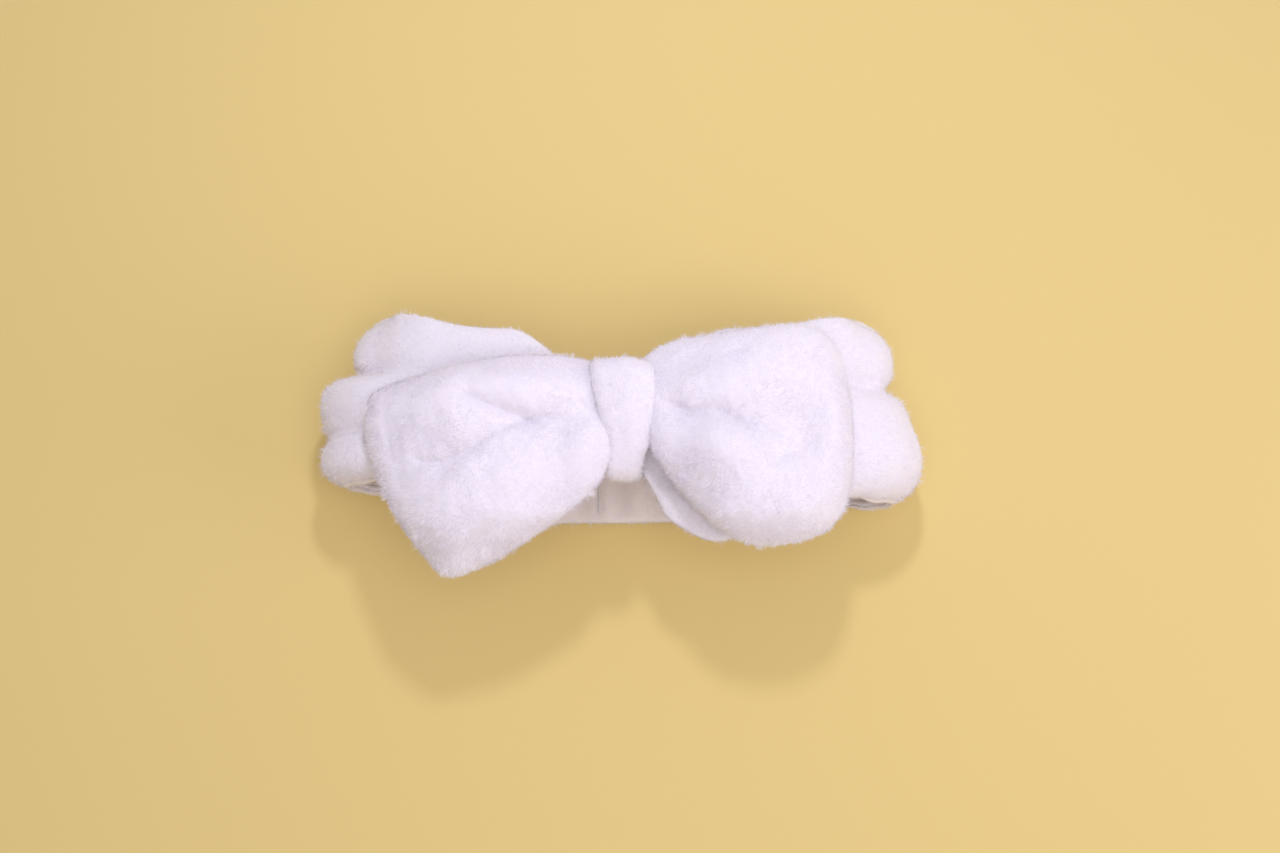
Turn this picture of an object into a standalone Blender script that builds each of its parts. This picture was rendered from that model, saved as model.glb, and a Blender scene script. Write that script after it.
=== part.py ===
"""A plush spa headband, lying on its back with its bow on top.

The band is a flat tube of two fleece panels sewn into a ring. The back holds an elastic, the sides
turn up, and a short strip is knotted round the front band and the waist of a padded bow.

+X runs along the bow, +Y along the axis of the ring, +Z up. The origin is under the middle of the
object's box, on the surface that it rests on.
"""

import math

import bmesh
import bpy
from mathutils import Matrix, Vector

MM = 0.001

# The ring, seen along its axis: a flat back, an elliptical turn at each side and an arched front.
FLAT_HALF = 88 * MM
TURN_RADIUS_Z = 25 * MM
TURN_REACH_LOW = 32 * MM
TURN_REACH_HIGH = 22 * MM
TURN_STEP_Y = (11 * MM, 17 * MM)
FRONT_CROWN = 6 * MM

# The band across its width: half-widths, and how far its middle line wanders along Y.
HALF_WIDTH_BACK = 34 * MM
HALF_WIDTH_FRONT = 37.5 * MM
HALF_WIDTH_KNOT = 18.5 * MM
PINCH_SPAN = (11 * MM, 44 * MM)
MIDDLE_BACK = -3.5 * MM
MIDDLE_BACK_ENDS = -1 * MM
MIDDLE_KNOT = -3.5 * MM
MIDDLE_FRONT_ENDS = 2.5 * MM

# Depths below the band's outer face.
OUTER_SKIN = 4 * MM
LINING_START = 5.9 * MM
BAND_THICK = 10 * MM
ELASTIC_START = 4.3 * MM
ELASTIC_THICK = 1.3 * MM
EDGE_ROLL = 3 * MM
EDGE_ROLL_FROM = 0.6

# Where the band is divided along its length, in quarters of the ring, and the gap left there.
TURN_SHARE = 0.1
CUT_GAP = 0.004
BACK_SEAM_X = -9 * MM
SEAM_GAP = 1.2 * MM
THREAD_RADIUS = 0.3 * MM
EDGE_THREAD_RADIUS = 0.45 * MM
EDGE_THREAD_AT = 0.93
CLOSING_SEAM_REACH = 0.88
CLOSING_SEAM_DEPTHS = {"outer": 2.4 * MM, "lining": 7.54 * MM}

# How many stations along the band each piece is drawn with.
BACK_PANEL_STATIONS = 9
BACK_THREAD_STATIONS = 17
SIDE_STATIONS = 13
FRONT_STATIONS = 37

ELASTIC_HALF_LENGTH = 80 * MM
ELASTIC_HALF_WIDTH = 12.5 * MM
ELASTIC_MIDDLE_Y = (MIDDLE_BACK + MIDDLE_BACK_ENDS) / 2
TACK_SIZE = (2 * MM, 23 * MM)
CLEARANCE = 0.3 * MM

# The knot: a strip round the front band and the waist of the bow.
KNOT_HALF_WIDTH = 11.5 * MM
KNOT_THICK = 3.6 * MM
KNOT_CORNER = 5 * MM
KNOT_SIDE_GAP = 0.8 * MM
WAIST_HALF_LENGTH = 12.6 * MM
WAIST_HEIGHT = 11 * MM
WAIST_HALF_WIDTH = 17 * MM
WAIST_ROUNDING = 4 * MM
STITCH_LENGTH = 12 * MM
STITCH_RADIUS = 0.5 * MM

# The bow's loops: (distance from the knot's middle, lower edge, upper edge), in mm.
LEFT_OUTLINE = (
    (13, -33, 17), (23, -43, 21), (34, -49.5, 22), (46, -55.5, 21), (57, -60, 19), (64, -62, 17),
    (69, -60.5, 16), (76, -54, 14.5), (82, -46, 13), (89, -34.5, 11), (94, -25, 9), (98, -16, 5),
)
RIGHT_OUTLINE = (
    (13, -20, 20), (17, -28, 25), (24, -37, 28), (32, -44.5, 29.5), (42, -50.5, 30.5), (54, -52, 32),
    (66, -50, 33), (76, -47, 32), (82, -42, 28), (86, -33, 19), (88.5, -22, 7),
)
LOOP_SKIN = 3 * MM
LOOP_EDGE_HALF = 1.7 * MM
LOOP_SEAM_HALF_GAP = 0.75 * MM
LOOP_HALF_WAIST = 5.4 * MM
LOOP_HALF_THICK = 11 * MM
LOOP_MIDDLE_WAIST = 62.2 * MM
LOOP_MIDDLE = 64.6 * MM
LOOP_MIDDLE_END = 57 * MM
LOOP_TIP_DROP = 11 * MM
LOOP_TIP_DROP_SPAN = (40 * MM, 62 * MM)

# Where a loop swells, sinks and closes, as shares of its length from the knot.
LOOP_SWELL_SPAN = (0, 0.35)
LOOP_SINK_SPAN = (0.55, 1)
LOOP_CLOSE_SPAN = (0.6, 1)
LOOP_SEAM_AT = 0.97
LOOP_SEAM_TURN = 0.93
WADDING_GAP = 0.4 * MM

# The joints, from the middle of the ring: the front slides up off the back, and each loop turns about a
# line along Y at the edge of the knot.
FRONT_SLIDE = (0, MIDDLE_KNOT, 2 * TURN_RADIUS_Z + FRONT_CROWN)
LEFT_LOOP_HINGE = (-13 * MM, -7.9 * MM, 67.6 * MM)
RIGHT_LOOP_HINGE = (13 * MM, -0.9 * MM, 67.6 * MM)

# The middle of the object's box, measured from the middle of the ring.
BOX_MIDDLE_Y = -10.9 * MM

LEFT, RIGHT = -1, 1


def smooth(value, start, end):
    """0 before start, 1 after end, and a soft step between."""
    share = min(max((value - start) / (end - start), 0.0), 1.0)
    return share * share * (3 - 2 * share)


def mix(a, b, share):
    return a + (b - a) * share


def band_width_and_middle(station):
    """Half the band's width and its middle line's Y, at a station counted in quarters of the ring."""
    quarter, share = math.floor(station) % 4, station % 1
    if quarter == 0:
        off_centre = 2 * share - 1
        return HALF_WIDTH_BACK, mix(MIDDLE_BACK, MIDDLE_BACK_ENDS, off_centre**2)
    if quarter == 2:
        off_centre = 1 - 2 * share
        open_share = smooth(abs(off_centre) * FLAT_HALF, *PINCH_SPAN)
        half = mix(HALF_WIDTH_KNOT, HALF_WIDTH_FRONT, open_share)
        return half, mix(MIDDLE_KNOT, MIDDLE_FRONT_ENDS, off_centre**2)
    up = smooth(share if quarter == 1 else 1 - share, 0, 1)
    return mix(HALF_WIDTH_BACK, HALF_WIDTH_FRONT, up), mix(MIDDLE_BACK_ENDS, MIDDLE_FRONT_ENDS, up)


def band_point(station, across, depth):
    """A point of the band: across runs from -1 to 1, depth is measured in from the outer face."""
    half, middle = band_width_and_middle(station)
    y = middle + across * half
    quarter, share = math.floor(station) % 4, station % 1
    if quarter == 0:
        x, z, normal = FLAT_HALF * (2 * share - 1), 0.0, (0.0, -1.0)
    elif quarter == 2:
        x = FLAT_HALF * (1 - 2 * share)
        angle = math.pi * x / FLAT_HALF
        z = 2 * TURN_RADIUS_Z + FRONT_CROWN * (1 + math.cos(angle)) / 2
        normal = (FRONT_CROWN * math.pi / FLAT_HALF * math.sin(angle) / 2, 1.0)
    else:
        side, turn = (RIGHT, math.pi * share) if quarter == 1 else (LEFT, math.pi * (1 - share))
        reach = mix(TURN_REACH_LOW, TURN_REACH_HIGH, smooth(y, *TURN_STEP_Y))
        x = side * (FLAT_HALF + reach * math.sin(turn))
        z = TURN_RADIUS_Z * (1 - math.cos(turn))
        normal = (side * TURN_RADIUS_Z * math.sin(turn), -reach * math.cos(turn))
    length = math.hypot(*normal)
    return Vector((x - depth * normal[0] / length, y, z - depth * normal[1] / length))


def station_of_back_x(x):
    return (x / FLAT_HALF + 1) / 2


def edge_roll(across):
    return EDGE_ROLL * (max(0.0, abs(across) - EDGE_ROLL_FROM) / (1 - EDGE_ROLL_FROM)) ** 2


def spread(start, end, count):
    return [mix(start, end, i / (count - 1)) for i in range(count)]


def material(name, colour, roughness):
    made = bpy.data.materials.new(name)
    made.use_nodes = True
    shader = made.node_tree.nodes["Principled BSDF"]
    shader.inputs["Base Color"].default_value = (*colour, 1)
    shader.inputs["Roughness"].default_value = roughness
    shader.inputs["Metallic"].default_value = 0.0
    return made


def add_object(name, data, kind):
    """Link data as a named object, with its own material, under the headband's empty."""
    data.materials.append(material(name + "_material", *FINISHES[kind]))
    obj = bpy.data.objects.new(name, data)
    parts.objects.link(obj)
    obj.parent = root
    return obj


def solid_between(name, kind, upper, lower):
    """The closed body between two grids of points of the same size, with upper on its outer side."""
    rows, columns = len(upper), len(upper[0])
    mesh = bpy.data.meshes.new(name)
    bm = bmesh.new()
    sides = [[[bm.verts.new(p) for p in row] for row in grid] for grid in (upper, lower)]
    for i in range(rows - 1):
        for j in range(columns - 1):
            for grid in sides:
                # Both grids are cut along the same diagonal, so that stacked bodies stay apart.
                for turn in ((1, 0), (0, 1)):
                    corners = [grid[i][j], grid[i + 1][j + 1], grid[i + turn[0]][j + turn[1]]]
                    flip = (turn == (1, 0)) == (grid is sides[0])
                    bm.faces.new(corners[::-1] if flip else corners)
    rim = [(i, 0) for i in range(rows)]
    rim += [(rows - 1, j) for j in range(1, columns)]
    rim += [(i, columns - 1) for i in range(rows - 2, -1, -1)]
    rim += [(0, j) for j in range(columns - 2, 0, -1)]
    for (i, j), (k, m) in zip(rim, rim[1:] + rim[:1]):
        bm.faces.new((sides[0][k][m], sides[0][i][j], sides[1][i][j], sides[1][k][m]))
    if bm.calc_volume(signed=True) < 0:
        bmesh.ops.reverse_faces(bm, faces=bm.faces)
    bm.to_mesh(mesh)
    bm.free()
    mesh.shade_smooth()
    mesh.set_sharp_from_angle(angle=math.radians(40))
    return add_object(name, mesh, kind)


def thread(name, points, radius):
    """A line of sewing thread through the points."""
    curve = bpy.data.curves.new(name, "CURVE")
    curve.dimensions = "3D"
    curve.bevel_depth = radius
    curve.bevel_resolution = 1
    curve.use_fill_caps = True
    spline = curve.splines.new("POLY")
    spline.points.add(len(points) - 1)
    for slot, point in zip(spline.points, points):
        slot.co = (*point, 1)
    return add_object(name, curve, "thread")


def box(name, kind, centre, size, rounding=0.3 * MM, segments=1):
    """A plain block with rounded edges."""
    mesh = bpy.data.meshes.new(name)
    bm = bmesh.new()
    bmesh.ops.create_cube(bm, size=1, matrix=Matrix.Diagonal((*size, 1)))
    bm.to_mesh(mesh)
    bm.free()
    obj = add_object(name, mesh, kind)
    obj.location = centre
    bevel = obj.modifiers.new("rounded", "BEVEL")
    bevel.width = rounding
    bevel.segments = segments


# ---------------------------------------------------------------- the band

# The panels' points across the band, from its lower edge to its upper edge.
ACROSS = (-1, -0.9, -0.75, -0.6, -0.3, 0, 0.2, 0.35, 0.5, 0.6, 0.75, 0.9, 1)


def outer_panel(name, start, end, count):
    stations = spread(start, end, count)
    upper = [[band_point(s, v, edge_roll(v)) for v in ACROSS] for s in stations]
    lower = [[band_point(s, v, OUTER_SKIN) for v in ACROSS] for s in stations]
    return solid_between(name, "plush", upper, lower)


def lining_panel(name, start, end, count):
    stations = spread(start, end, count)
    upper = [[band_point(s, v, LINING_START) for v in ACROSS] for s in stations]
    lower = [[band_point(s, v, BAND_THICK - edge_roll(v)) for v in ACROSS] for s in stations]
    return solid_between(name, "lining", upper, lower)


def edge_threads(name, start, end, count):
    """The two long seams of the tube along one stretch of the band."""
    middle = (OUTER_SKIN + LINING_START) / 2
    for label, across in (("upper", EDGE_THREAD_AT), ("lower", -EDGE_THREAD_AT)):
        points = [band_point(s, across, middle) for s in spread(start, end, count)]
        thread(f"{name}_{label}_edge_seam", points, EDGE_THREAD_RADIUS)


def back_band():
    seam_left = station_of_back_x(BACK_SEAM_X - SEAM_GAP / 2)
    seam_right = station_of_back_x(BACK_SEAM_X + SEAM_GAP / 2)
    left_end, right_end = -TURN_SHARE + CUT_GAP, 1 + TURN_SHARE - CUT_GAP
    for side, start, end in (("left", left_end, seam_left), ("right", seam_right, right_end)):
        outer_panel(f"back_outer_{side}", start, end, BACK_PANEL_STATIONS)
        lining_panel(f"back_lining_{side}", start, end, BACK_PANEL_STATIONS)
    edge_threads("back", left_end, right_end, BACK_THREAD_STATIONS)
    seam = station_of_back_x(BACK_SEAM_X)
    for label, depth in CLOSING_SEAM_DEPTHS.items():
        reach = spread(-CLOSING_SEAM_REACH, CLOSING_SEAM_REACH, BACK_PANEL_STATIONS)
        points = [band_point(seam, across, depth) for across in reach]
        thread(f"back_{label}_closing_seam", points, THREAD_RADIUS)


def elastic():
    """The flat elastic in the back of the tube, and the stitched bar that holds each end of it."""
    height = ELASTIC_START + ELASTIC_THICK / 2
    size = (2 * ELASTIC_HALF_LENGTH, 2 * ELASTIC_HALF_WIDTH, ELASTIC_THICK)
    box("back_elastic", "elastic", (0, ELASTIC_MIDDLE_Y, height), size)
    for label, side in (("left", LEFT), ("right", RIGHT)):
        x = side * (ELASTIC_HALF_LENGTH + CLEARANCE + TACK_SIZE[0] / 2)
        place = (x, ELASTIC_MIDDLE_Y, height)
        box(f"elastic_tack_{label}", "thread", place, (*TACK_SIZE, ELASTIC_THICK))


def sides():
    """The two turns between the back and the front, which stretch when the ring is pulled open."""
    near, far = TURN_SHARE + CUT_GAP, 1 - TURN_SHARE - CUT_GAP
    for side, start, end in (("right", 1 + near, 1 + far), ("left", 3 + 1 - far, 3 + 1 - near)):
        outer_panel(f"{side}_side_outer", start, end, SIDE_STATIONS)
        lining_panel(f"{side}_side_lining", start, end, SIDE_STATIONS)
        edge_threads(f"{side}_side", start, end, SIDE_STATIONS)


def front_band():
    start, end = 2 - TURN_SHARE + CUT_GAP, 3 + TURN_SHARE - CUT_GAP
    outer_panel("front_outer", start, end, FRONT_STATIONS)
    lining_panel("front_lining", start, end, FRONT_STATIONS)
    edge_threads("front", start, end, FRONT_STATIONS)


# ---------------------------------------------------------------- the knot

FRONT_TOP = 2 * TURN_RADIUS_Z + FRONT_CROWN
KNOT_LOW = FRONT_TOP - BAND_THICK - 2 * CLEARANCE
KNOT_HIGH = FRONT_TOP + WAIST_HEIGHT + 2 * CLEARANCE
KNOT_HALF_SPAN = HALF_WIDTH_KNOT + KNOT_SIDE_GAP


def rounded_rectangle(half_width, half_height, corner, steps=6):
    points = []
    for quarter in range(4):
        centre = Vector((
            (half_width - corner) * (1 if quarter in (0, 3) else -1),
            (half_height - corner) * (1 if quarter < 2 else -1),
        ))
        for i in range(steps + 1):
            angle = math.pi / 2 * (quarter + i / steps)
            points.append(centre + corner * Vector((math.cos(angle), math.sin(angle))))
    return points


def knot_wrap():
    """The strip as a closed band: a rounded rectangle with a hole, drawn in YZ and given its width."""
    half_height = (KNOT_HIGH - KNOT_LOW) / 2
    curve = bpy.data.curves.new("knot_wrap", "CURVE")
    curve.dimensions = "2D"
    curve.fill_mode = "BOTH"
    curve.extrude = KNOT_HALF_WIDTH
    for grow, corner in ((KNOT_THICK, KNOT_CORNER + KNOT_THICK), (0, KNOT_CORNER)):
        points = rounded_rectangle(KNOT_HALF_SPAN + grow, half_height + grow, corner)
        spline = curve.splines.new("POLY")
        spline.points.add(len(points) - 1)
        spline.use_cyclic_u = True
        for slot, (x, y) in zip(spline.points, points):
            slot.co = (x, y, 0, 1)
    obj = add_object("knot_wrap", curve, "plush")
    obj.location = (0, MIDDLE_KNOT, KNOT_LOW + half_height)
    obj.rotation_euler = (math.pi / 2, 0, math.pi / 2)


def knot_stitch():
    """The hand stitch that closes the strip, on its underside inside the ring."""
    z = KNOT_LOW - KNOT_THICK - STITCH_RADIUS - CLEARANCE
    ends = [(x, MIDDLE_KNOT, z) for x in spread(-STITCH_LENGTH / 2, STITCH_LENGTH / 2, 3)]
    thread("knot_closing_stitch", ends, STITCH_RADIUS)


def bow_waist():
    """The gathered middle of the bow, inside the knot."""
    bottom, top = FRONT_TOP + CLEARANCE, FRONT_TOP + CLEARANCE + WAIST_HEIGHT
    size = (2 * WAIST_HALF_LENGTH, 2 * WAIST_HALF_WIDTH, top - bottom)
    box("bow_waist", "plush", (0, MIDDLE_KNOT, (bottom + top) / 2), size, WAIST_ROUNDING, segments=4)


# ---------------------------------------------------------------- the bow's loops


def outline_at(outline, reach):
    """The loop's lower and upper edge at a distance from the knot, in metres."""
    for (r0, low0, high0), (r1, low1, high1) in zip(outline, outline[1:]):
        if reach <= r1 * MM or r1 == outline[-1][0]:
            share = min(max((reach / MM - r0) / (r1 - r0), 0.0), 1.0)
            return mix(low0, low1, share) * MM, mix(high0, high1, share) * MM


def loop_section(outline, along, across):
    """(reach, y, middle height, half thickness) at along 0 to 1 and across -1 to 1 of a loop."""
    start, end = outline[0][0] * MM, outline[-1][0] * MM
    reach = mix(start, end, along)
    low, high = outline_at(outline, reach)
    y = mix(low, high, (across + 1) / 2)
    swell = smooth(along, *LOOP_SWELL_SPAN)
    middle = mix(LOOP_MIDDLE_WAIST, LOOP_MIDDLE, swell)
    middle = mix(middle, LOOP_MIDDLE_END, smooth(along, *LOOP_SINK_SPAN))
    middle -= LOOP_TIP_DROP * smooth(-y, *LOOP_TIP_DROP_SPAN)
    full = mix(LOOP_HALF_WAIST, LOOP_HALF_THICK, swell)
    crown = math.sqrt(max(0.0, (1 - abs(across) ** 3) * (1 - smooth(along, *LOOP_CLOSE_SPAN) ** 2)))
    return reach, y, middle, LOOP_EDGE_HALF + (full - LOOP_EDGE_HALF) * crown


def loop_grid(outline, side, height, alongs, acrosses):
    """Grid of points whose height above the loop's middle surface is height(half thickness)."""
    grid = []
    for along in alongs:
        row = []
        for across in acrosses:
            reach, y, middle, half = loop_section(outline, along, across)
            row.append(Vector((side * reach, y, middle + height(half))))
        grid.append(row)
    return grid


# The loops' points: along from the knot, and across from the lower edge to the upper edge. The wadding
# leaves out the outermost ones, so that it stops short of the seam.
LOOP_ALONG = [0, 0.08, 0.16, 0.25, 0.36, 0.48, 0.59, 0.65, 0.74, 0.81, 0.87, 0.92, 0.96, 1]
LOOP_ACROSS = [-1, -0.95, -0.85, -0.7, -0.45, -0.15, 0.15, 0.45, 0.7, 0.85, 0.95, 1]
WADDING_ALONG = LOOP_ALONG[1:-4]
WADDING_ACROSS = LOOP_ACROSS[2:-2]


def inside(half):
    """Half the height of the hollow between the panels, where the loop is half thick."""
    return max(LOOP_SEAM_HALF_GAP, half - LOOP_SKIN)


def loop_panel(name, side, outline, up):
    """The top panel of a loop, with up 1, or its under panel, with up -1."""
    outer = loop_grid(outline, side, lambda half: up * half, LOOP_ALONG, LOOP_ACROSS)
    inner = loop_grid(outline, side, lambda half: up * inside(half), LOOP_ALONG, LOOP_ACROSS)
    solid_between(name, "plush", outer, inner)


def loop_wadding(name, side, outline):
    """The filling between a loop's two panels."""
    top = loop_grid(outline, side, lambda half: inside(half) - WADDING_GAP, WADDING_ALONG, WADDING_ACROSS)
    under = loop_grid(outline, side, lambda half: WADDING_GAP - inside(half), WADDING_ALONG, WADDING_ACROSS)
    solid_between(name, "wadding", top, under)


def loop_seam(name, side, outline):
    """The thread round a loop's edge: out along the lower edge, across the end and back along the upper."""
    end = [(LOOP_SEAM_AT, across) for across in spread(-LOOP_SEAM_TURN, LOOP_SEAM_TURN, 5)]
    out = [(along, -LOOP_SEAM_AT) for along in LOOP_ALONG[1:-2]]
    back = [(along, LOOP_SEAM_AT) for along in LOOP_ALONG[-3:0:-1]]
    points = []
    for along, across in out + end + back:
        reach, y, middle, _ = loop_section(outline, along, across)
        points.append((side * reach, y, middle))
    thread(name, points, THREAD_RADIUS)


def bow_loop(label, side, outline):
    loop_panel(f"{label}_loop_top_panel", side, outline, 1)
    loop_panel(f"{label}_loop_under_panel", side, outline, -1)
    loop_wadding(f"{label}_loop_wadding", side, outline)
    loop_seam(f"{label}_loop_edge_seam", side, outline)


# ---------------------------------------------------------------- the joints


def hang(obj, carrier, carrier_place):
    """Parent an object to an empty at carrier_place, without moving the object."""
    obj.parent = carrier
    obj.matrix_parent_inverse = Matrix.Translation(carrier_place).inverted()


def joint_empty(name, place, carried, carrier, carrier_place=(0, 0, 0)):
    """An empty on a joint's axis, which carries the pieces whose names start with the given words."""
    empty = bpy.data.objects.new(name, None)
    empty.location = place
    parts.objects.link(empty)
    hang(empty, carrier, carrier_place)
    for obj in parts.objects:
        if obj.name.startswith(carried):
            hang(obj, empty, place)
    return empty


FINISHES = {
    "plush": ((0.93, 0.91, 0.93), 0.95),
    "lining": ((0.90, 0.88, 0.90), 0.95),
    "wadding": ((0.95, 0.95, 0.95), 1.0),
    "elastic": ((0.88, 0.87, 0.85), 0.8),
    "thread": ((0.85, 0.84, 0.86), 0.6),
}

for old in list(bpy.data.objects):
    bpy.data.objects.remove(old, do_unlink=True)

parts = bpy.data.collections.new("spa_headband")
bpy.context.scene.collection.children.link(parts)
root = bpy.data.objects.new("headband", None)
root.location = (0, -BOX_MIDDLE_Y, 0)
parts.objects.link(root)

back_band()
elastic()
sides()
front_band()
knot_wrap()
knot_stitch()
bow_waist()
bow_loop("left", LEFT, LEFT_OUTLINE)
bow_loop("right", RIGHT, RIGHT_OUTLINE)

slide = joint_empty("slide_of_front", FRONT_SLIDE, ("front_", "knot_", "bow_waist"), root)
joint_empty("hinge_of_left_loop", LEFT_LOOP_HINGE, "left_loop_", slide, FRONT_SLIDE)
joint_empty("hinge_of_right_loop", RIGHT_LOOP_HINGE, "right_loop_", slide, FRONT_SLIDE)
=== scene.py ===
import math

import bmesh
import bpy
import numpy as np
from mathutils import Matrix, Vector


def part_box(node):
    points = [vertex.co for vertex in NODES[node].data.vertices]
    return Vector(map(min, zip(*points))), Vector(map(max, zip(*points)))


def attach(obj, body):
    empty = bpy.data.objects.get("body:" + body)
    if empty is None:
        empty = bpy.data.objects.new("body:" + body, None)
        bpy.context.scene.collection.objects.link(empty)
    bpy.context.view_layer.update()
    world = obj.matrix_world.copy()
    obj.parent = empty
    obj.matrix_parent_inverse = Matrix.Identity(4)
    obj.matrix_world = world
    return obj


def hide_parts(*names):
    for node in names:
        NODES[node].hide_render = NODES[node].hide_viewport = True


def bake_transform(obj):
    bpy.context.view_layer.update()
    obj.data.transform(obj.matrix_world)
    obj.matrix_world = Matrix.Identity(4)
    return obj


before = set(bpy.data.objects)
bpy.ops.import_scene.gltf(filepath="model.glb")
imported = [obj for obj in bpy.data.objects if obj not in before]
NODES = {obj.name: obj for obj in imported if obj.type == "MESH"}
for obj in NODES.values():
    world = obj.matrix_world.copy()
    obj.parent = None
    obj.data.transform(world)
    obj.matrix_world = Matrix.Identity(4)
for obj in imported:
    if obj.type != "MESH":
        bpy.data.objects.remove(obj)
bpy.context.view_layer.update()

MM = 0.001

# The middle of the ring, measured from the frame's origin. Y values below are counted from it.
RING_MIDDLE = Vector((0, 10.9 * MM, 0))

# The ring's outer line, seen along its axis: two flat stretches joined by a turn at each end. The
# turns' folds set in over TURN_SPAN of |x|.
FLAT_HALF = 88 * MM
TURN_RADIUS_Z = 25 * MM
TURN_REACH = 29.5 * MM
FRONT_CROWN = 6 * MM
TURN_SPAN = (74 * MM, 104 * MM)

# Half the band's width and the Y of its middle line. The knot pinches the front within PINCH_SPAN of x.
HALF_WIDTH_BACK = 33.5 * MM
HALF_WIDTH_FRONT = 37 * MM
HALF_WIDTH_KNOT = 18 * MM
PINCH_SPAN = (9 * MM, 44 * MM)
MIDDLE_BACK = -3.5 * MM
MIDDLE_BACK_ENDS = -1 * MM
MIDDLE_KNOT = -3.5 * MM
MIDDLE_FRONT_ENDS = 2.5 * MM

# The flattened tube's thickness and squareness, and its cloth's thickness.
BAND_THICK = 9.5 * MM
BAND_SQUARENESS = 0.62
SKIN = 2.2 * MM


# ---------------------------------------------------------------- small helpers


def smooth(value, start, end):
    """0 before start, 1 after end and a soft step between, for numbers and arrays."""
    share = np.clip((value - start) / (end - start), 0, 1)
    return share * share * (3 - 2 * share)


def mix(a, b, share):
    """a where the share is 0, b where it is 1, and evenly between."""
    return a + (b - a) * share


def hump(value, middle, half):
    """A round bump, 1 in the middle and 0 from half away."""
    return np.clip(1 - ((value - middle) / half) ** 2, 0, None)


def groove(value, middle, half):
    """A narrow valley that is 1 on its line and fades to 0."""
    return np.exp(-(((value - middle) / half) ** 2))


def squarer(wave, power):
    """A sine or cosine swelled towards its limits, which turns a circle into a rounded box."""
    return np.sign(wave) * np.abs(wave) ** power


def link(name, mesh):
    """A new object in the scene with this mesh."""
    obj = bpy.data.objects.new(name, mesh)
    bpy.context.scene.collection.objects.link(obj)
    return obj


def mesh_from(name, points, faces):
    """A mesh from an array of points and lists of their numbers."""
    mesh = bpy.data.meshes.new(name)
    mesh.from_pydata(points.reshape(-1, 3).tolist(), [], faces)
    mesh.update()
    return mesh


def tube_faces(rows, columns, closed):
    """Quads on a grid of points whose columns run round. Its rows run round too if it is closed."""
    faces = []
    for i in range(rows if closed else rows - 1):
        for j in range(columns):
            k, m = (i + 1) % rows, (j + 1) % columns
            faces.append((i * columns + j, k * columns + j, k * columns + m, i * columns + m))
    return faces


def coordinates(mesh):
    """The mesh's points as an array."""
    points = np.empty(len(mesh.vertices) * 3)
    mesh.vertices.foreach_get("co", points)
    return points.reshape(-1, 3)


def vertex_normals(mesh):
    """The mesh's smooth normals, one for each point."""
    normals = np.empty(len(mesh.vertices) * 3, np.float32)
    mesh.vertices.foreach_get("normal", normals)
    return normals.reshape(-1, 3).astype(float)


def apply_modifiers(obj):
    """Replace the object's mesh with what its modifiers make of it."""
    graph = bpy.context.evaluated_depsgraph_get()
    made = bpy.data.meshes.new_from_object(obj.evaluated_get(graph))
    obj.modifiers.clear()
    old, obj.data = obj.data, made
    bpy.data.meshes.remove(old)


def soft_noise(points, size, seed, octaves=2):
    """Smooth noise, mostly between -1 and 1: sums of sine waves that run in random directions."""
    random = np.random.default_rng(seed)
    total = np.zeros(len(points))
    for octave in range(octaves):
        for _ in range(7):
            direction = random.normal(size=3)
            direction *= 2 ** octave * 2 * math.pi / (size * np.linalg.norm(direction))
            total += np.sin(points @ direction + random.uniform(0, 2 * math.pi)) / 2 ** octave
    return total / 4


# ---------------------------------------------------------------- materials


def set_inputs(node, inputs):
    """Set a node's inputs by name, with underscores for spaces."""
    for name, value in inputs.items():
        node.inputs[name.replace("_", " ")].default_value = value


def add_node(tree, kind, **inputs):
    """A new node with these inputs."""
    made = tree.nodes.new(kind)
    set_inputs(made, inputs)
    return made


def material(name, **inputs):
    """A new material, and the Principled shader in it that has these inputs."""
    made = bpy.data.materials.new(name)
    made.use_nodes = True
    shader = made.node_tree.nodes["Principled BSDF"]
    set_inputs(shader, inputs)
    return made, shader


def object_texture(tree, kind, **inputs):
    """A texture laid out in the object's own coordinates, in metres."""
    place = tree.nodes.new("ShaderNodeTexCoord")
    texture = add_node(tree, kind, **inputs)
    tree.links.new(place.outputs["Object"], texture.inputs["Vector"])
    return texture


def raise_surface(tree, shader, height, strength, distance):
    """Bump the shader's surface by a height."""
    raised = add_node(tree, "ShaderNodeBump", Strength=strength, Distance=distance)
    tree.links.new(height, raised.inputs["Height"])
    tree.links.new(raised.outputs["Normal"], shader.inputs["Normal"])


def colour_between(tree, shader, share, shade, colour, span=(0.0, 1.0)):
    """Colour the shader from shade to colour as the share goes through its span."""
    ramp = tree.nodes.new("ShaderNodeValToRGB")
    for element, position, end in zip(ramp.color_ramp.elements, span, (shade, colour)):
        element.position = position
        element.color = (*end, 1)
    tree.links.new(share, ramp.inputs["Fac"])
    tree.links.new(ramp.outputs["Color"], shader.inputs["Base Color"])


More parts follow.
